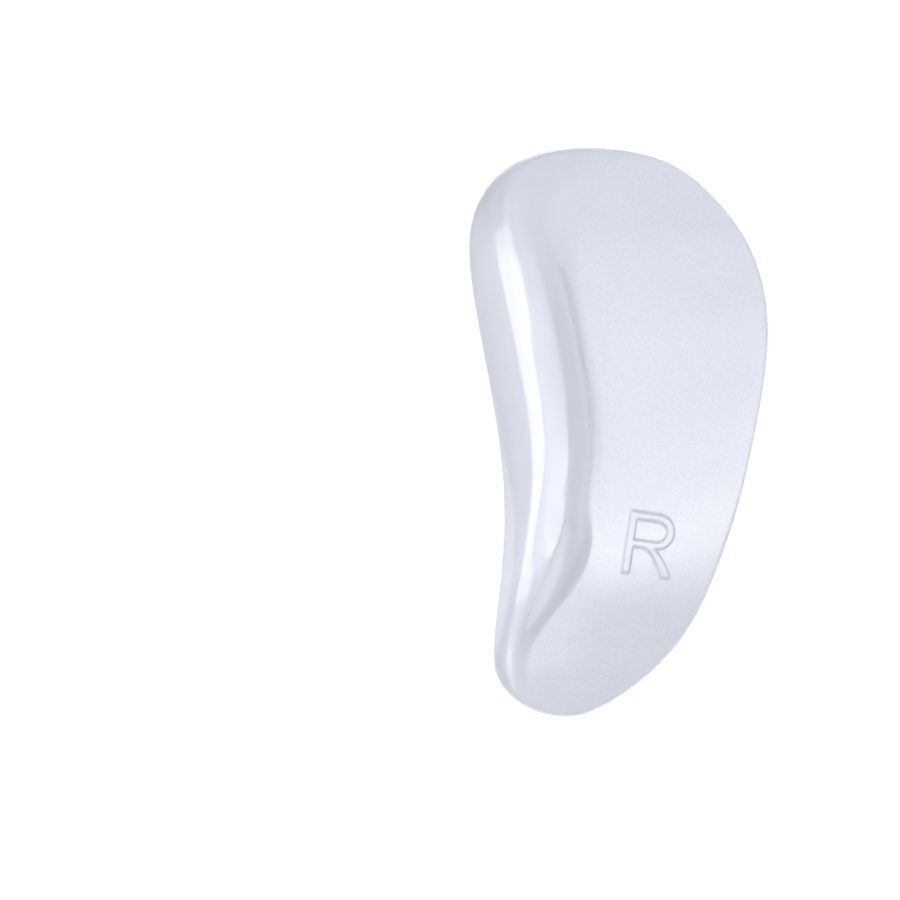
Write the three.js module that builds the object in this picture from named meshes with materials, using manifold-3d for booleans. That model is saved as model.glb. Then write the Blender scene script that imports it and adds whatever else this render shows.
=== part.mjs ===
import * as THREE from 'three';
import { mergeVertices } from 'three/addons/utils/BufferGeometryUtils.js';
import Module from 'manifold-3d';

// Right foot gel arch support pad, in millimetres
// +Y points to the toes, +X to the outer side of the foot and +Z up from the shoe
// The underside is flat at Z = 0, and the origin is the middle of the pad's outline

// Driving dimensions
const padLength = 95;        // from the heel tip to the toe tip
const padWidth = 50.5;       // from the arch side to the outer side
const crestHeight = 12.4;    // top of the arch roll above the underside
const panelHeight = 8.6;     // the panel, if it ran on under the roll to the arch side
const rimHeight = 0.7;       // edge of the pad on the thin sides
const archFoot = 0.6;        // height at which the outer wall starts, as a share of the roll's
const rimRounding = 0.5;     // least width of the rounded edge
const edgeRounding = 0.06;   // its width where the edge is taller, as a share of the height there
const covePower = 1.6;       // curve of the cove's rise towards the ledge
const panelPower = 1.8;      // curve of the panel's fall towards the rim
const levelling = 0.3;       // how much further the roll falls past the ledge, as a share of its fall
const letterHeight = 10.3;   // side mark, a plain R
const letterStroke = 1.2;
const letterRelief = 0.5;    // how far the letter stands above the panel
const letterTurn = 8.2;      // degrees clockwise from straight across the pad
const letterAlong = 0.363;   // top left corner, as a share of the length from the heel
const letterAcross = 0.54;   // and as a share of the width from the arch side

// Number of mesh steps
const rowCount = 92;         // from heel to toe
const wallSteps = 9;         // outline to crest
const rollSteps = 6;         // crest to ledge
const coveSteps = 6;         // ledge to panel
const panelSteps = 19;       // panel to the outer side
const curveSteps = 12;       // each round of the letter
const edgeGather = 1.6;      // how closely the columns gather at both edges

// Sections from heel to toe
// at is a share of padLength, inner and outer are shares of padWidth from the arch side,
// crest, ledge and cove are shares of the way across the section, roll and panel are shares
// of crestHeight and panelHeight above the rim, dome is the power of the outer wall's curve,
// bend is the roll's radius and soft the ledge's rounding in millimetres
const sectionNames = [
  'at', 'inner', 'outer', 'crest', 'ledge', 'cove', 'roll', 'panel', 'dome', 'bend', 'soft',
];
const sections = [
  [0.000, 0.335, 0.335, 0.120, 0.160, 0.300, 0.000, 0.000, 2.0, 6, 0.1],
  [0.020, 0.186, 0.457, 0.108, 0.145, 0.260, 0.150, 0.200, 1.8, 24, 0.3],
  [0.070, 0.097, 0.593, 0.106, 0.140, 0.220, 0.325, 0.450, 1.8, 32, 0.2],
  [0.150, 0.086, 0.729, 0.102, 0.148, 0.245, 0.570, 0.665, 1.8, 34, 0.18],
  [0.250, 0.105, 0.823, 0.113, 0.210, 0.385, 0.880, 0.850, 1.8, 26, 0.2],
  [0.350, 0.116, 0.889, 0.139, 0.262, 0.410, 0.975, 0.970, 1.8, 9, 0.12],
  [0.450, 0.106, 0.937, 0.171, 0.273, 0.420, 1.000, 1.000, 1.8, 8.5, 0.12],
  [0.550, 0.079, 0.974, 0.176, 0.275, 0.410, 1.000, 1.000, 1.8, 8.5, 0.12],
  [0.650, 0.044, 0.998, 0.171, 0.267, 0.383, 0.970, 0.967, 1.8, 8.5, 0.15],
  [0.750, 0.012, 0.986, 0.170, 0.250, 0.380, 0.900, 0.910, 1.9, 11, 0.5],
  [0.840, 0.003, 0.924, 0.158, 0.245, 0.410, 0.720, 0.775, 2.0, 15, 1],
  [0.920, 0.052, 0.806, 0.150, 0.230, 0.500, 0.455, 0.530, 2.0, 16, 1],
  [0.975, 0.168, 0.661, 0.130, 0.210, 0.540, 0.210, 0.250, 2.0, 14, 0.6],
  [1.000, 0.395, 0.395, 0.130, 0.200, 0.500, 0.000, 0.000, 2.0, 12, 0.1],
];

// A section's turn goes evenly round an oval from 0 at the heel to 1 at the toe,
// so that rows lie close together at both tips
const turnOf = (share) => Math.acos(1 - 2 * share) / Math.PI;
const shareOf = (turn) => (1 - Math.cos(Math.PI * turn)) / 2;

// Smooth curve with continuous bending through one column of the section table
function columnCurve(name) {
  const turns = sections.map((row) => turnOf(row[0]));
  const values = sections.map((row) => row[sectionNames.indexOf(name)]);
  const last = turns.length - 1;
  const bends = new Array(last + 1).fill(0);
  const factors = new Array(last + 1).fill(0);
  for (let i = 1; i < last; i++) {
    const before = turns[i] - turns[i - 1];
    const after = turns[i + 1] - turns[i];
    const change = (values[i + 1] - values[i]) / after - (values[i] - values[i - 1]) / before;
    const scale = 2 * (before + after) - before * factors[i - 1];
    factors[i] = after / scale;
    bends[i] = (6 * change - before * bends[i - 1]) / scale;
  }
  for (let i = last - 1; i > 0; i--) bends[i] -= factors[i] * bends[i + 1];
  return (turn) => {
    let i = 0;
    while (i < last - 1 && turn > turns[i + 1]) i += 1;
    const step = turns[i + 1] - turns[i];
    const b = (turn - turns[i]) / step;
    const a = 1 - b;
    const bending = ((a ** 3 - a) * bends[i] + (b ** 3 - b) * bends[i + 1]) * step * step / 6;
    return a * values[i] + b * values[i + 1] + bending;
  };
}

const curves = Object.fromEntries(sectionNames.map((name) => [name, columnCurve(name)]));

// All the sizes of the section at one turn, heights and widths in millimetres
function sectionAt(turn) {
  const left = (curves.inner(turn) - 0.5) * padWidth;
  const span = (curves.outer(turn) - 0.5) * padWidth - left;
  const crest = curves.crest(turn);
  const ledge = curves.ledge(turn);
  return {
    y: (shareOf(turn) - 0.5) * padLength,
    left,
    span,
    crest,
    ledge,
    cove: curves.cove(turn),
    dome: curves.dome(turn),
    soft: curves.soft(turn),
    rollTop: rimHeight + curves.roll(turn) * (crestHeight - rimHeight),
    rollFall: ((ledge - crest) * span) ** 2 / curves.bend(turn) / 2,
    panelTop: rimHeight + curves.panel(turn) * (panelHeight - rimHeight),
  };
}

// The lower of two heights, with their meeting edge rounded off as a hyperbola
const lowerOf = (first, second, width) => (first + second - Math.hypot(first - second, width)) / 2;

// Outer wall as a dome up to the crest, then a parabola that levels off past the ledge
function archHeight({ crest, ledge, dome, rollTop, rollFall }, across) {
  if (across < crest) {
    return rollTop - (rollTop - rimHeight) * (1 - archFoot) * (1 - across / crest) ** dome;
  }
  const over = (across - crest) / (ledge - crest);
  if (over < 1) return rollTop - rollFall * over ** 2;
  return rollTop - rollFall * (1 + levelling * Math.tanh((over - 1) * 2 / levelling));
}

// Height of a section at a share of the way across it, before the edge is rounded: the lower
// of the arch and the panel, which falls to the rim and rises in the cove towards the ledge
function sectionHeight(section, across) {
  const { ledge, cove, rollTop, rollFall, panelTop, soft } = section;
  const panelAt = (share) => panelTop - (panelTop - rimHeight) * share ** panelPower;
  const inward = Math.max(0, (cove - across) / (cove - ledge));
  const coveRise = (rollTop - rollFall - panelAt(ledge)) * inward ** covePower;
  return lowerOf(archHeight(section, across), panelAt(across) + coveRise, soft);
}

// Where the mesh columns lie across a section, closer together at both edges
function columnShares({ crest, ledge, cove }) {
  const shares = [];
  for (let i = 0; i < wallSteps; i++) shares.push(crest * (i / wallSteps) ** edgeGather);
  for (let i = 0; i < rollSteps; i++) shares.push(crest + (ledge - crest) * i / rollSteps);
  for (let i = 0; i < coveSteps; i++) shares.push(ledge + (cove - ledge) * i / coveSteps);
  for (let i = panelSteps; i >= 0; i--) shares.push(1 - (1 - cove) * (i / panelSteps) ** edgeGather);
  return shares;
}

// Outline of the pad as a closed ring of points
function padOutline(steps) {
  const ring = [];
  for (let i = 0; i <= steps; i++) {
    const { left, y } = sectionAt(i / steps);
    ring.push(new THREE.Vector2(left, y));
  }
  for (let i = steps - 1; i > 0; i--) {
    const { left, span, y } = sectionAt(i / steps);
    ring.push(new THREE.Vector2(left + span, y));
  }
  return ring;
}

const outline = padOutline(240);

// Shortest way from a point to the outline
function edgeDistance(x, y) {
  let nearest = Infinity;
  outline.forEach((from, i) => {
    const to = outline[(i + 1) % outline.length];
    const dx = to.x - from.x;
    const dy = to.y - from.y;
    const along = THREE.MathUtils.clamp(((x - from.x) * dx + (y - from.y) * dy) / (dx * dx + dy * dy), 0, 1);
    nearest = Math.min(nearest, Math.hypot(x - from.x - along * dx, y - from.y - along * dy));
  });
  return nearest;
}

// Share of the height that is left at a distance from the edge, a quarter round
function roundedShare(distance, height) {
  const inside = Math.min(distance / Math.max(rimRounding, edgeRounding * height), 1);
  return Math.sqrt(1 - (1 - inside) ** 2);
}

// Closed body of the pad: a moulded top, raised by lift away from the edge, on a flat underside
function padGeometry(lift) {
  const positions = [];
  const faces = [];
  const rows = [];
  const addPoint = (x, y, z) => positions.push(x, y, z) / 3 - 1;
  for (let i = 0; i <= rowCount; i++) {
    const section = sectionAt(i / rowCount);
    if (i === 0 || i === rowCount) {
      rows.push([addPoint(section.left, section.y, 0)]);
      continue;
    }
    const shares = columnShares(section);
    rows.push(shares.map((across, column) => {
      const x = section.left + section.span * across;
      const height = sectionHeight(section, across);
      const atEdge = column === 0 || column === shares.length - 1;
      const rounded = atEdge ? 0 : roundedShare(edgeDistance(x, section.y), height);
      return addPoint(x, section.y, rounded * (height + lift));
    }));
  }
  const columns = rows[1].length - 1;
  for (let j = 0; j < columns; j++) {
    faces.push(rows[0][0], rows[1][j + 1], rows[1][j]);
    faces.push(rows[rowCount][0], rows[rowCount - 1][j], rows[rowCount - 1][j + 1]);
    for (let i = 1; i < rowCount - 1; i++) {
      const [low, high] = [rows[i], rows[i + 1]];
      faces.push(low[j], low[j + 1], high[j + 1], low[j], high[j + 1], high[j]);
    }
  }
  faces.push(rows[0][0], rows[1][0], rows[1][columns]);
  faces.push(rows[rowCount][0], rows[rowCount - 1][columns], rows[rowCount - 1][0]);
  for (let i = 1; i < rowCount - 1; i++) {
    const [low, high] = [rows[i], rows[i + 1]];
    faces.push(low[columns], low[0], high[0], low[columns], high[0], high[columns]);
  }
  const geometry = new THREE.BufferGeometry();
  geometry.setAttribute('position', new THREE.Float32BufferAttribute(positions, 3));
  geometry.setIndex(faces);
  return geometry;
}

// Plain R with its top left corner at 0, 0, drawn downwards
function letterShape() {
  const high = letterHeight;
  const stroke = letterStroke;
  const barFoot = 0.51 * high + stroke / 2;    // underside of the middle bar
  const bowlRadius = barFoot / 2;
  const bowlStart = 0.47 * high;               // where the straight bars turn into the bowl
  const legStart = 0.29 * high;                // where the leg's left edge leaves the bar
  const legBend = 0.42 * high;                 // corner that this edge bends towards
  const legFoot = 0.644 * high;                // left and right end of the leg at the bottom
  const legHeel = 0.8 * high;
  const heelBend = new THREE.Vector2(0.645, -0.69).multiplyScalar(high);
  const shape = new THREE.Shape();
  shape.moveTo(0, 0);
  shape.lineTo(0, -high);
  shape.lineTo(stroke, -high);
  shape.lineTo(stroke, -barFoot);
  shape.lineTo(legStart, -barFoot);
  shape.quadraticCurveTo(legBend, -barFoot, legFoot, -high);
  shape.lineTo(legHeel, -high);
  shape.quadraticCurveTo(heelBend.x, heelBend.y, bowlStart, -barFoot);
  shape.absarc(bowlStart, -bowlRadius, bowlRadius, -Math.PI / 2, Math.PI / 2, false);
  shape.closePath();
  const counter = new THREE.Path();
  counter.moveTo(stroke, -stroke);
  counter.lineTo(bowlStart, -stroke);
  counter.absarc(bowlStart, -bowlRadius, bowlRadius - stroke, Math.PI / 2, -Math.PI / 2, true);
  counter.lineTo(stroke, stroke - barFoot);
  counter.closePath();
  shape.holes.push(counter);
  return shape;
}

// Upright block of the letter, tall enough to pass through the whole pad
function letterBlock() {
  const block = new THREE.ExtrudeGeometry(letterShape(), {
    depth: crestHeight, bevelEnabled: false, curveSegments: curveSteps,
  });
  block.rotateZ(-THREE.MathUtils.degToRad(letterTurn));
  block.translate((letterAcross - 0.5) * padWidth, (letterAlong - 0.5) * padLength, rimHeight / 2);
  return block;
}

const wasm = await Module();
wasm.setup();

function toSolid(geometry) {
  const bare = geometry.clone();
  bare.deleteAttribute('normal');
  bare.deleteAttribute('uv');
  const merged = mergeVertices(bare, 1e-4);
  return new wasm.Manifold(new wasm.Mesh({
    numProp: 3,
    vertProperties: new Float32Array(merged.attributes.position.array),
    triVerts: new Uint32Array(merged.index.array),
  }));
}

function toGeometry(solid) {
  const mesh = solid.getMesh();
  const geometry = new THREE.BufferGeometry();
  geometry.setAttribute('position', new THREE.BufferAttribute(mesh.vertProperties, 3));
  geometry.setIndex(new THREE.BufferAttribute(mesh.triVerts, 1));
  return geometry;
}

// One moulded piece of clear gel, with the letter standing on its panel
function gelPad() {
  const letter = toSolid(letterBlock()).intersect(toSolid(padGeometry(letterRelief)));
  const geometry = toGeometry(toSolid(padGeometry(0)).add(letter));
  geometry.computeVertexNormals();
  const gel = new THREE.MeshStandardMaterial({ color: 0xdfe3ee, roughness: 0.25, metalness: 0 });
  const mesh = new THREE.Mesh(geometry, gel);
  mesh.name = 'gel_pad';
  return mesh;
}

const group = new THREE.Group();
group.add(gelPad());

export default group;
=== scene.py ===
import math

import bpy
import numpy as np
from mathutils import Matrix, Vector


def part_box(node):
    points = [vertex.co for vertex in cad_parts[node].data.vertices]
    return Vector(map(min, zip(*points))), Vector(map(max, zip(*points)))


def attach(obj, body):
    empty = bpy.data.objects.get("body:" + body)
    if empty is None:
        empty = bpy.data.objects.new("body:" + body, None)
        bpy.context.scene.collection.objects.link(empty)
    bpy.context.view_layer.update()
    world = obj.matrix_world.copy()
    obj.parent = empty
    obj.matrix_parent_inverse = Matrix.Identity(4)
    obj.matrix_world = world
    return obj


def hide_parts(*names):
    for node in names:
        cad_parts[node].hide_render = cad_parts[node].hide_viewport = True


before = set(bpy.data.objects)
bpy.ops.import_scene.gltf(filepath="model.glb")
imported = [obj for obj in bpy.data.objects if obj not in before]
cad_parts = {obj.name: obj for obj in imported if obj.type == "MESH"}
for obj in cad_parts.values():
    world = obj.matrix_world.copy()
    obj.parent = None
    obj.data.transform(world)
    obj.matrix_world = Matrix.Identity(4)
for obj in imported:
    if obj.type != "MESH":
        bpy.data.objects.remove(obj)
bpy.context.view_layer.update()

mm = 0.001  # the sizes below are in millimetres, the meshes in metres
padLow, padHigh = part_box("gel_pad")
padLength = (padHigh[1] - padLow[1]) / mm
padWidth = (padHigh[0] - padLow[0]) / mm


# The pad's top as heights above the flat underside, and how finely it is meshed
pad = {
    "crestHeight": 12.4,
    "panelHeight": 8.6,       # the panel, if it ran on under the roll to the arch side
    "rimHeight": 0.7,
    "rimRounding": 0.5,       # least width of the rounded edge
    "edgeRounding": 0.06,     # its width where the edge is taller, as a share of the height there
    "archFoot": 0.6,          # height at which the outer wall starts, as a share of the roll's
    "covePower": 1.6,
    "panelPower": 1.8,
    "levelling": 0.3,         # how far the roll still falls past the ledge, as a share of its fall
    "rows": 330,
    "columns": 235,
    "outlinePoints": 500,     # along each side of the outline
    "spacingSteps": 4001,     # in which the rows and columns are spaced
    "sharpAngle": math.radians(60),
}

# Sections from heel to toe: inner and outer as shares of the width, crest, ledge and cove
# as shares of the way across, roll and panel as shares of the crest and panel heights above
# the rim, dome as the power of the outer wall's curve, bend as the roll's radius and soft as
# the ledge's rounding in millimetres
sectionNames = ("at", "inner", "outer", "crest", "ledge", "cove",
                "roll", "panel", "dome", "bend", "soft")
sections = (
    (0.000, 0.335, 0.335, 0.120, 0.160, 0.300, 0.00, 0.000, 2.0, 6, 0.1),
    (0.020, 0.186, 0.457, 0.108, 0.145, 0.260, 0.15, 0.200, 1.8, 24, 0.3),
    (0.070, 0.097, 0.593, 0.106, 0.140, 0.220, 0.325, 0.450, 1.8, 32, 0.2),
    (0.150, 0.086, 0.729, 0.102, 0.148, 0.245, 0.57, 0.665, 1.8, 34, 0.18),
    (0.250, 0.105, 0.823, 0.113, 0.210, 0.385, 0.88, 0.850, 1.8, 26, 0.2),
    (0.350, 0.116, 0.889, 0.139, 0.262, 0.410, 0.975, 0.970, 1.8, 9, 0.12),
    (0.450, 0.106, 0.937, 0.171, 0.273, 0.420, 1.00, 1.000, 1.8, 8.5, 0.12),
    (0.550, 0.079, 0.974, 0.176, 0.275, 0.410, 1.00, 1.000, 1.8, 8.5, 0.12),
    (0.650, 0.044, 0.998, 0.171, 0.267, 0.383, 0.97, 0.967, 1.8, 8.5, 0.15),
    (0.750, 0.012, 0.986, 0.170, 0.250, 0.380, 0.90, 0.910, 1.9, 11, 0.5),
    (0.840, 0.003, 0.924, 0.158, 0.245, 0.410, 0.72, 0.775, 2.0, 15, 1.0),
    (0.920, 0.052, 0.806, 0.150, 0.230, 0.500, 0.455, 0.530, 2.0, 16, 1.0),
    (0.975, 0.168, 0.661, 0.130, 0.210, 0.540, 0.21, 0.250, 2.0, 14, 0.6),
    (1.000, 0.395, 0.395, 0.130, 0.200, 0.500, 0.00, 0.000, 2.0, 12, 0.1),
)

# The side mark, a plain R in low relief with sloping walls
letter = {
    "height": 10.3,
    "stroke": 1.2,
    "relief": 0.5,
    "wall": 0.52,             # width of the sloping wall in plan
    "wallLean": 0.45,         # how much wider it is where it faces the arch, as a share
    "turn": math.radians(8.2),
    "along": 0.363,           # top left corner, share of the length from the heel
    "across": 0.540,          # and of the width from the arch side
    "barMiddle": 0.51,        # the rest are shares of the height: centre line of the middle bar
    "bowlStart": 0.47,        # where the straight bars turn into the bowl
    "legStart": 0.29,         # where the leg's left edge leaves the bar, and the bend's corner
    "legBend": 0.42,
    "legFoot": 0.644,         # left and right end of the leg at the bottom
    "legHeel": 0.80,
    "heelBend": (0.645, 0.69),
    "bendPoints": 13,         # on each edge of the leg
    "roundPoints": 25,        # on each round of the bowl
    "leastWay": 1e-6,         # way to the edge that still gives a direction
}


def turnOf(share):
    # angle round half an oval, 0 at the heel tip and 1 at the toe tip
    return np.arccos(1 - 2 * share) / np.pi


def columnCurve(name):
    # cubic through one column of the table whose bending is continuous and ends at nothing
    table = np.array(sections)
    knots = turnOf(table[:, 0])
    values = table[:, sectionNames.index(name)]
    steps = np.diff(knots)
    slopes = np.diff(values) / steps
    system = np.eye(len(knots))
    inner = np.arange(1, len(knots) - 1)
    system[inner, inner - 1] = steps[:-1]
    system[inner, inner] = 2 * (steps[:-1] + steps[1:])
    system[inner, inner + 1] = steps[1:]
    bends = np.linalg.solve(system, np.concatenate([[0], 6 * np.diff(slopes), [0]]))

    def curve(turn):
        i = np.clip(np.searchsorted(knots, turn) - 1, 0, len(steps) - 1)
        b = (turn - knots[i]) / steps[i]
        a = 1 - b
        bending = ((a**3 - a) * bends[i] + (b**3 - b) * bends[i + 1]) * steps[i]**2 / 6
        return a * values[i] + b * values[i + 1] + bending

    return curve


curves = {name: columnCurve(name) for name in sectionNames[1:]}


def lowerOf(first, second, width):
    # the lower of two heights, with their meeting edge rounded off as a hyperbola
    return (first + second - np.hypot(first - second, width)) / 2


def smoothStep(value):
    # 0 below 0, 1 above 1 and a soft S between
    held = np.clip(value, 0, 1)
    return held * held * (3 - 2 * held)


def sectionHeights(turn, across):
    # the lower of the arch, which is the outer wall up to the crest and the roll beyond it,
    # and the panel, which rises in the cove towards the ledge. The wall is a dome and the roll
    # a parabola about the crest. Past the ledge, where the parabola's slope is 2, the roll
    # levels off as a hyperbolic tangent.
    rim = pad["rimHeight"]
    crest, ledge, cove = (curves[name](turn) for name in ("crest", "ledge", "cove"))
    width = (curves["outer"](turn) - curves["inner"](turn)) * padWidth
    rollTop = rim + curves["roll"](turn) * (pad["crestHeight"] - rim)
    panelTop = rim + curves["panel"](turn) * (pad["panelHeight"] - rim)
    rollFall = ((ledge - crest) * width)**2 / curves["bend"](turn) / 2
    before = np.clip(1 - across / crest, 0, 1)
    wall = rollTop - (rollTop - rim) * (1 - pad["archFoot"]) * before**curves["dome"](turn)
    over = (across - crest) / (ledge - crest)
    beyond = 1 + pad["levelling"] * np.tanh((over - 1) * 2 / pad["levelling"])
    over = np.where(over < 1, over**2, beyond)
    arch = np.where(across < crest, wall, rollTop - rollFall * over)
    panel = panelTop - (panelTop - rim) * across**pad["panelPower"]
    ledgePanel = panelTop - (panelTop - rim) * ledge**pad["panelPower"]
    inward = np.clip((cove - across) / (cove - ledge), 0, None)
    coveRise = (rollTop - rollFall - ledgePanel) * inward**pad["covePower"]
    return lowerOf(arch, panel + coveRise, curves["soft"](turn))


def nearestEdge(x, y, ring):
    # way to the nearest of a ring's straight pieces, and how far of it goes along x
    nearest = np.full(x.shape, np.inf)
    along = np.zeros(x.shape)
    for start, end in zip(ring, np.roll(ring, -1, axis=0)):
        dx, dy = end - start
        share = np.clip(((x - start[0]) * dx + (y - start[1]) * dy) / (dx * dx + dy * dy), 0, 1)
        wayX = start[0] + share * dx - x
        way = np.hypot(wayX, start[1] + share * dy - y)
        along = np.where(way < nearest, wayX, along)
        nearest = np.minimum(nearest, way)
    return nearest, along


def padRing():
    # the outline from heel to toe up the arch side and back down the outer side
    turn = np.linspace(0, 1, pad["outlinePoints"])
    alongY = -np.cos(np.pi * turn) / 2 * padLength
    left = (curves["inner"](turn) - 0.5) * padWidth
    right = (curves["outer"](turn) - 0.5) * padWidth
    return np.concatenate([np.stack([left, alongY], 1), np.stack([right, alongY], 1)[-2:0:-1]])


def bentLine(first, bend, last):
    # parabola from the first point to the last, drawn towards the bend's corner
    t = np.linspace(0, 1, letter["bendPoints"])[:, None]
    return (1 - t)**2 * np.array(first) + 2 * t * (1 - t) * np.array(bend) + t**2 * np.array(last)


def halfRound(middle, radius, start, end):
    # points at even angles on a part of a circle
    angle = np.linspace(start, end, letter["roundPoints"])
    return np.stack([middle[0] + radius * np.cos(angle), middle[1] + radius * np.sin(angle)], 1)


def letterRings():
    # outer edge and counter of a plain R, its top left corner at 0, 0, second number downwards
    high, stroke = letter["height"], letter["stroke"]
    barFoot = letter["barMiddle"] * high + stroke / 2
    start = letter["bowlStart"] * high
    middle = (start, barFoot / 2)
    legLeft = bentLine((letter["legStart"] * high, barFoot), (letter["legBend"] * high, barFoot),
                       (letter["legFoot"] * high, high))
    legRight = bentLine((letter["legHeel"] * high, high), np.array(letter["heelBend"]) * high,
                        (start, barFoot))
    bowl = halfRound(middle, barFoot / 2, math.pi / 2, -math.pi / 2)
    outer = np.concatenate([[(0, 0), (0, high), (stroke, high), (stroke, barFoot)],
                            legLeft, legRight, bowl[1:]])
    inside = halfRound(middle, barFoot / 2 - stroke, -math.pi / 2, math.pi / 2)
    return outer, np.concatenate([[(stroke, barFoot - stroke), (stroke, stroke)], inside])


def isInside(x, y, ring):
    # odd number of crossings of a level ray to the right
    odd = np.zeros(x.shape, dtype=bool)
    for (startX, startY), (endX, endY) in zip(ring, np.roll(ring, -1, axis=0)):
        if startY != endY:
            crossing = startX + (y - startY) * (endX - startX) / (endY - startY)
            odd ^= ((startY > y) != (endY > y)) & (x < crossing)
    return odd


def letterRelief(x, y):
    # a soft S across the letter's edge, from nothing outside to the full relief inside, and
    # wider where the edge faces the arch
    cosine, sine = math.cos(letter["turn"]), math.sin(letter["turn"])
    fromLeft = x - (letter["across"] - 0.5) * padWidth
    fromTop = (letter["along"] - 0.5) * padLength - y
    u = fromLeft * cosine + fromTop * sine
    v = fromTop * cosine - fromLeft * sine
    outer, counter = letterRings()
    outerWay, outerAlong = nearestEdge(u, v, outer)
    counterWay, counterAlong = nearestEdge(u, v, counter)
    way = np.minimum(outerWay, counterWay)
    along = np.where(outerWay < counterWay, outerAlong, counterAlong)
    side = np.where(isInside(u, v, outer) & ~isInside(u, v, counter), -1, 1)
    facing = -side * along / np.maximum(way, letter["leastWay"])
    width = letter["wall"] * (1 - letter["wallLean"] * facing)
    return letter["relief"] * (1 - smoothStep(side * way / width + 0.5))


# Where the mesh lines gather: the density that a bell adds, its middle and its width
rowBells = (
    (3.2, turnOf(letter["along"] - letter["height"] / padLength / 2), 0.05),  # the letter
)
columnBells = (
    (2.4, 0.67, 0.15),        # the letter
    (1.5, 0.28, 0.1),         # the ledge
    (6, 0, 0.02),             # both edges
    (4, 1, 0.02),
)


def spacedBy(bells, count):
    # places from 0 to 1 that lie closer together where the density is higher, which is 1 plus
    # a soft bell round each middle
    fine = np.linspace(0, 1, pad["spacingSteps"])
    density = np.ones(len(fine))
    for more, middle, width in bells:
        density += more * np.exp(-((fine - middle) / width)**2)
    filled = np.concatenate([[0], np.cumsum((density[1:] + density[:-1]) / 2)])
    return np.interp(np.linspace(0, filled[-1], count), filled, fine)


def addMesh(name, points, faces):
    # a mesh object at the origin, smooth but for its sharp edges
    mesh = bpy.data.meshes.new(name)
    mesh.from_pydata((points * mm).tolist(), [], faces.tolist())
    mesh.update()
    mesh.polygons.foreach_set("use_smooth", np.ones(len(mesh.polygons), dtype=bool))
    mesh.set_sharp_from_angle(angle=pad["sharpAngle"])
    piece = bpy.data.objects.new(name, mesh)
    bpy.context.collection.objects.link(piece)
    return piece


def gelPad():
    # a grid of points whose two parameters are the turn from heel to toe and the share of the
    # way across. The height is the section's, times a quarter circle near the edge, plus the
    # letter. The grain grows from the ledge to the cove, and the wall's streaks fade out
    # between half way up and the crest.
    turns = spacedBy(rowBells, pad["rows"])
    shares = spacedBy(columnBells, pad["columns"])
    turn, across = np.meshgrid(turns[1:-1], shares, indexing="ij")
    left = (curves["inner"](turn) - 0.5) * padWidth
    right = (curves["outer"](turn) - 0.5) * padWidth
    x = left + across * (right - left)
    y = -np.cos(np.pi * turn) / 2 * padLength
    heights = sectionHeights(turn, across)
    roundWidth = np.maximum(pad["rimRounding"], pad["edgeRounding"] * heights)
    inside = np.clip(nearestEdge(x, y, padRing())[0] / roundWidth, 0, 1)
    rounding = np.sqrt(1 - (1 - inside)**2)
    rounding[:, [0, -1]] = 0
    z = rounding * heights + letterRelief(x, y)
    tips = [[(curves["inner"](t) - 0.5) * padWidth, (t - 0.5) * padLength, 0] for t in (0.0, 1.0)]
    points = np.concatenate([np.stack([x, y, z], -1).reshape(-1, 3), tips])
    piece = addMesh("arch_pad", points, gridFaces(*x.shape))
    crest, ledge, cove = (curves[name](turn) for name in ("crest", "ledge", "cove"))
    addShare(piece, "grain", smoothStep((across - ledge) / (cove - ledge)))
    addShare(piece, "wall", smoothStep(2 - 2 * across / crest))
    return piece


def addShare(piece, name, values):
    # one number from 0 to 1 for each point of the top, for the material; the two tips get 0
    share = piece.data.attributes.new(name, "FLOAT", "POINT")
    share.data.foreach_set("value", np.append(values.ravel(), [0.0, 0.0]).astype(np.float32))


def gridFaces(rows, columns):
    # quads on top, a fan at each tip, and strips from edge to edge underneath
    index = np.arange(rows * columns).reshape(rows, columns)
    heel, toe = rows * columns, rows * columns + 1
    low, high = index[:-1], index[1:]
    quads = np.stack([low[:, :-1], low[:, 1:], high[:, 1:], high[:, :-1]], -1).reshape(-1, 4)
    quadsA, quadsB = quads[:, [0, 1, 2]], quads[:, [0, 2, 3]]
    fanHeel = np.stack([np.full(columns - 1, heel), index[0, 1:], index[0, :-1]], -1)
    fanToe = np.stack([np.full(columns - 1, toe), index[-1, :-1], index[-1, 1:]], -1)
    underA = np.stack([index[:-1, -1], index[:-1, 0], index[1:, 0]], -1)
    underB = np.stack([index[:-1, -1], index[1:, 0], index[1:, -1]], -1)
    ends = np.array([[heel, index[0, 0], index[0, -1]], [toe, index[-1, -1], index[-1, 0]]])
    return np.concatenate([quadsA, quadsB, fanHeel, fanToe, underA, underB, ends])


# Clear gel with a faint blue milkiness: slick on the roll, finely dimpled on the panel
gel = {
    "colour": (0.784, 0.805, 0.878),
    "roughness": 0.12,
    "ior": 1.45,
    "clearness": 0.6,
    "gloss": 1.0,             # weight and roughness of the slick skin
    "glossRoughness": 0.11,
    "dimpleScale": 2700,      # dimples to the metre
    "fineDetail": 2,          # finer octaves of the dimples and streaks
    "relief": 0.0002,         # depth of the dimples and streaks in metres, and its strength
    "reliefStrength": 0.06,
    "streakScale": (1600, 50, 400),  # streaks to the metre across, along and up the pad
    "streakDepth": 0.5,       # as a share of the dimples'
    "speckle": 0.2,           # how much the dimples change the milkiness
    "cloudScale": 50,         # soft clouds to the metre, and how much they change it
    "cloud": 0.04,
    "cloudDetail": 3,
}


def mathNode(tree, operation, first, second):
    # each of the two values is a number or the output of another node
    node = tree.nodes.new("ShaderNodeMath")
    node.operation = operation
    for slot, value in zip(node.inputs, (first, second)):
        if isinstance(value, (int, float)):
            slot.default_value = value
        else:
            tree.links.new(value, slot)
    return node.outputs["Value"]


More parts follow.
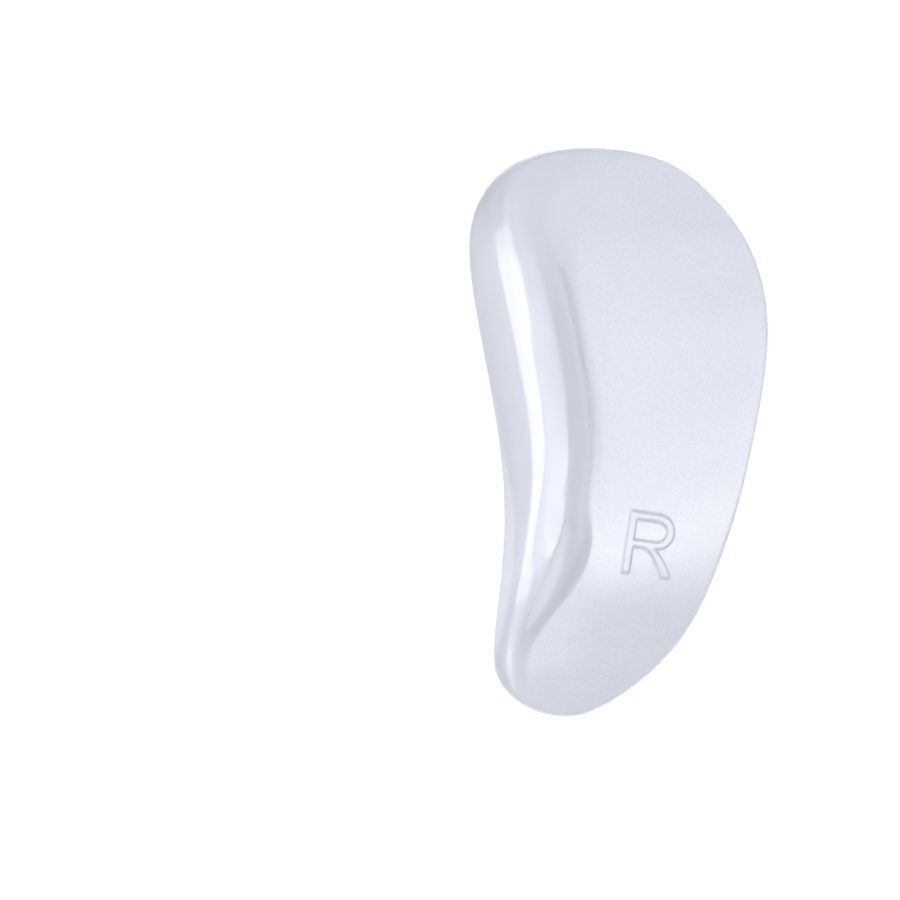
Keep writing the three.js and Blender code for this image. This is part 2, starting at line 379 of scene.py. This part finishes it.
def noiseNode(tree, place, scale, detail):
    # soft noise from 0 to 1 round 0.5, its scale in lumps for each unit of the place
    node = tree.nodes.new("ShaderNodeTexNoise")
    node.inputs["Scale"].default_value = scale
    node.inputs["Detail"].default_value = detail
    tree.links.new(place, node.inputs["Vector"])
    return node.outputs["Fac"]


def shareNode(tree, name):
    # the share stored at the mesh's points under this name
    node = tree.nodes.new("ShaderNodeAttribute")
    node.attribute_name = name
    return node.outputs["Fac"]


def gelMaterial():
    # the normal is bent by the height of the dimples on the panel plus the streaks on the wall,
    # and the colour is multiplied by 1 plus the clouds plus the speckle of the dimples
    material = bpy.data.materials.new("clear_gel")
    material.use_nodes = True
    tree = material.node_tree
    shader = tree.nodes["Principled BSDF"]
    shader.inputs["Roughness"].default_value = gel["roughness"]
    shader.inputs["IOR"].default_value = gel["ior"]
    shader.inputs["Transmission Weight"].default_value = gel["clearness"]
    shader.inputs["Coat Weight"].default_value = gel["gloss"]
    shader.inputs["Coat Roughness"].default_value = gel["glossRoughness"]
    place = tree.nodes.new("ShaderNodeTexCoord").outputs["Object"]
    stretched = tree.nodes.new("ShaderNodeMapping")
    stretched.inputs["Scale"].default_value = gel["streakScale"]
    tree.links.new(place, stretched.inputs["Vector"])
    dimples = noiseNode(tree, place, gel["dimpleScale"], gel["fineDetail"])
    dimples = mathNode(tree, "SUBTRACT", dimples, 0.5)
    dimples = mathNode(tree, "MULTIPLY", dimples, shareNode(tree, "grain"))
    streaks = noiseNode(tree, stretched.outputs["Vector"], 1, gel["fineDetail"])
    streaks = mathNode(tree, "SUBTRACT", streaks, 0.5)
    streaks = mathNode(tree, "MULTIPLY", streaks, shareNode(tree, "wall"))
    relief = tree.nodes.new("ShaderNodeBump")
    relief.inputs["Strength"].default_value = gel["reliefStrength"]
    relief.inputs["Distance"].default_value = gel["relief"]
    deep = mathNode(tree, "ADD", dimples, mathNode(tree, "MULTIPLY", streaks, gel["streakDepth"]))
    tree.links.new(deep, relief.inputs["Height"])
    tree.links.new(relief.outputs["Normal"], shader.inputs["Normal"])
    tree.links.new(relief.outputs["Normal"], shader.inputs["Coat Normal"])
    clouds = noiseNode(tree, place, gel["cloudScale"], gel["cloudDetail"])
    clouds = mathNode(tree, "SUBTRACT", clouds, 0.5)
    shade = mathNode(tree, "ADD", mathNode(tree, "MULTIPLY", clouds, gel["cloud"]),
                     mathNode(tree, "MULTIPLY", dimples, gel["speckle"]))
    milk = tree.nodes.new("ShaderNodeVectorMath")
    milk.operation = "SCALE"
    milk.inputs[0].default_value = gel["colour"]
    tree.links.new(mathNode(tree, "ADD", shade, 1.0), milk.inputs["Scale"])
    tree.links.new(milk.outputs["Vector"], shader.inputs["Base Color"])
    return material


def plainMaterial(name, colour, roughness):
    # one even colour without a highlight
    material = bpy.data.materials.new(name)
    material.use_nodes = True
    shader = material.node_tree.nodes["Principled BSDF"]
    shader.inputs["Base Color"].default_value = (*colour, 1)
    shader.inputs["Roughness"].default_value = roughness
    shader.inputs["Specular IOR Level"].default_value = 0
    return material


print("making the pad")
piece = gelPad()
piece.data.materials.append(gelMaterial())
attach(piece, "root")
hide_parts("gel_pad")


# Studio: a pale floor, a pale room and soft boxes overhead
studio = {
    "floorSize": 6.0,
    "floorGap": 0.0002,       # keeps the floor clear of the underside
    "floorColour": (0.9, 0.9, 0.9),
    "floorRoughness": 1.0,
    "roomColour": (1, 1, 1),
    "roomStrength": 0.06,
}

# Lamps by their middle, width and depth in metres. Brightness is what the lamp's face shows,
# with white paper near 1. Lean is the turn about the pad's length in degrees: every lamp hangs
# level and faces down but for the arch wall, which stands at the arch side and faces the pad.
lampColumns = ("name", "x", "y", "height", "wide", "deep", "brightness", "lean")
lamps = (
    ("arch_wall", -2.4, 0.0, 0.35, 0.7, 2.0, 0.47, -90),
    ("arch_box", -1.5, 0.0, 0.7, 1.8, 1.4, 0.56, 0),
    ("crest_box", -0.27, -0.09, 0.7, 0.64, 0.42, 3.74, 0),
    ("crest_box_high", -0.2525, 0.31, 0.7, 0.675, 0.38, 3.74, 0),
    ("crest_box_top", -0.27, 0.625, 0.7, 0.64, 0.25, 2.20, 0),
    ("crest_box_low", -0.2525, -0.5, 0.7, 0.675, 0.4, 3.20, 0),
    ("crest_box_end", -0.2525, -0.85, 0.7, 0.675, 0.3, 1.20, 0),
    ("toe_box", 0.55, 1.05, 0.7, 1.5, 0.7, 0.27, 0),
    ("heel_box", -0.3, -1.25, 0.7, 3.0, 0.5, 0.15, 0),
    ("flank_box", 0.1675, -0.09, 0.7, 0.165, 0.37, 1.70, 0),
    ("flank_box_low", 0.1675, -0.375, 0.7, 0.165, 0.2, 0.83, 0),
    ("panel_box_1", 0.9025, -0.215, 0.7, 1.305, 0.12, 3.43, 0),
    ("panel_box_2", 0.9025, -0.1, 0.7, 1.305, 0.11, 2.34, 0),
    ("panel_box_3", 0.9025, 0.025, 0.7, 1.305, 0.14, 1.72, 0),
    ("panel_box_4", 0.72, 0.195, 0.7, 1.27, 0.2, 1.14, 0),
    ("panel_box_5", 0.65, 0.495, 0.7, 1.13, 0.4, 0.64, 0),
    ("side_box", 2.2, 0.0, 0.7, 1.3, 1.6, 0.83, 0),
)

print("setting the studio")
half = studio["floorSize"] / 2
low = -studio["floorGap"]
floorMesh = bpy.data.meshes.new("floor")
corners = [(-half, -half, low), (half, -half, low), (half, half, low), (-half, half, low)]
floorMesh.from_pydata(corners, [], [(0, 1, 2, 3)])
floor = bpy.data.objects.new("floor", floorMesh)
bpy.context.collection.objects.link(floor)
pale = plainMaterial("pale_floor", studio["floorColour"], studio["floorRoughness"])
floorMesh.materials.append(pale)

world = bpy.data.worlds.new("room")
world.use_nodes = True
background = world.node_tree.nodes["Background"]
background.inputs["Color"].default_value = (*studio["roomColour"], 1)
background.inputs["Strength"].default_value = studio["roomStrength"]
bpy.context.scene.world = world

for row in lamps:
    lamp = dict(zip(lampColumns, row))
    light = bpy.data.lights.new(lamp["name"], "AREA")
    light.shape = "RECTANGLE"
    light.size = lamp["wide"]
    light.size_y = lamp["deep"]
    light.energy = lamp["brightness"] * math.pi * lamp["wide"] * lamp["deep"]
    stand = bpy.data.objects.new(lamp["name"], light)
    stand.location = (lamp["x"], lamp["y"], lamp["height"])
    stand.rotation_euler = (0, math.radians(lamp["lean"]), 0)
    bpy.context.collection.objects.link(stand)


# Camera straight above, where the photo's frame centre falls on the pad's plane
view = {
    "lens": 150,
    "sensor": 36,
    "frameWide": 150.3,       # millimetres across the square frame at the floor
    "centre": (-27.9, -3.0),
}
camera = bpy.data.objects.new("camera", bpy.data.cameras.new("camera"))
camera.data.lens = view["lens"]
camera.data.sensor_width = view["sensor"]
camera.location = (view["centre"][0] * mm, view["centre"][1] * mm,
                   view["frameWide"] * mm * view["lens"] / view["sensor"])
bpy.context.collection.objects.link(camera)
bpy.context.scene.camera = camera
bpy.context.scene.view_settings.view_transform = "Standard"
